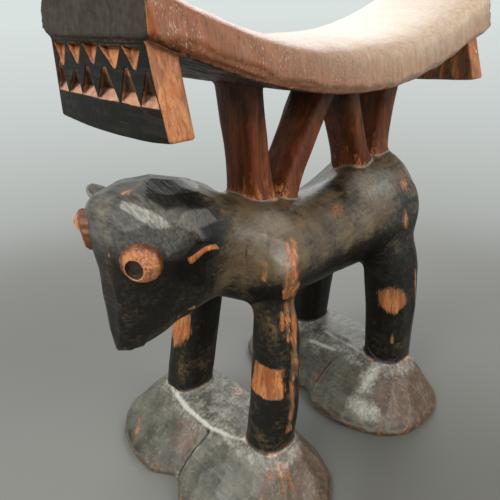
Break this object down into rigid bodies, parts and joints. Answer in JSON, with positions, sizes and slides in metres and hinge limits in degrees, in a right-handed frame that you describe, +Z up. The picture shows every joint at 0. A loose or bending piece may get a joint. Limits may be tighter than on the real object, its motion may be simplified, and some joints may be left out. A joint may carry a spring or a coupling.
{
  "type": "carved wooden headrest",
  "caption": "Carved wooden headrest: a dished neck pillow with hanging chip-carved lugs, on zigzag struts over a standing animal figure with lobed bases.",
  "frame": {"origin": "on the ground at the middle of the object's outline", "axes": "+Z up, the animal's head towards -X, its right side towards +Y"},
  "size_m": [0.1568, 0.095, 0.1722],
  "materials": {
    "polished_wood": "worn smooth to a satin polish, fine grain along the curve",
    "strut_wood": "knife-cut, warm brown, darker near the pillow",
    "burnt_wood": "burnt black with satin knife facets and bare patches",
    "dusty_wood": "burnt and rubbed grey, with pale dust on edges and worn brown rims",
    "bare_wood": "bare orange-brown wood, matt"
  },
  "bodies": {
    "root": {"pillow": "polished_wood", "front_lug": "burnt_wood", "rear_lug": "burnt_wood", "strut_front_outer": "strut_wood", "strut_front_inner": "strut_wood", "strut_rear_inner": "strut_wood", "strut_rear_outer": "strut_wood", "torso": "burnt_wood", "head": "burnt_wood", "left_eye": "bare_wood", "right_eye": "bare_wood", "left_ear": "burnt_wood", "right_ear": "burnt_wood", "front_left_leg": "burnt_wood", "front_right_leg": "burnt_wood", "rear_left_leg": "burnt_wood", "rear_right_leg": "burnt_wood", "front_base": "dusty_wood", "rear_base": "dusty_wood"}
  },
  "joints": []
}
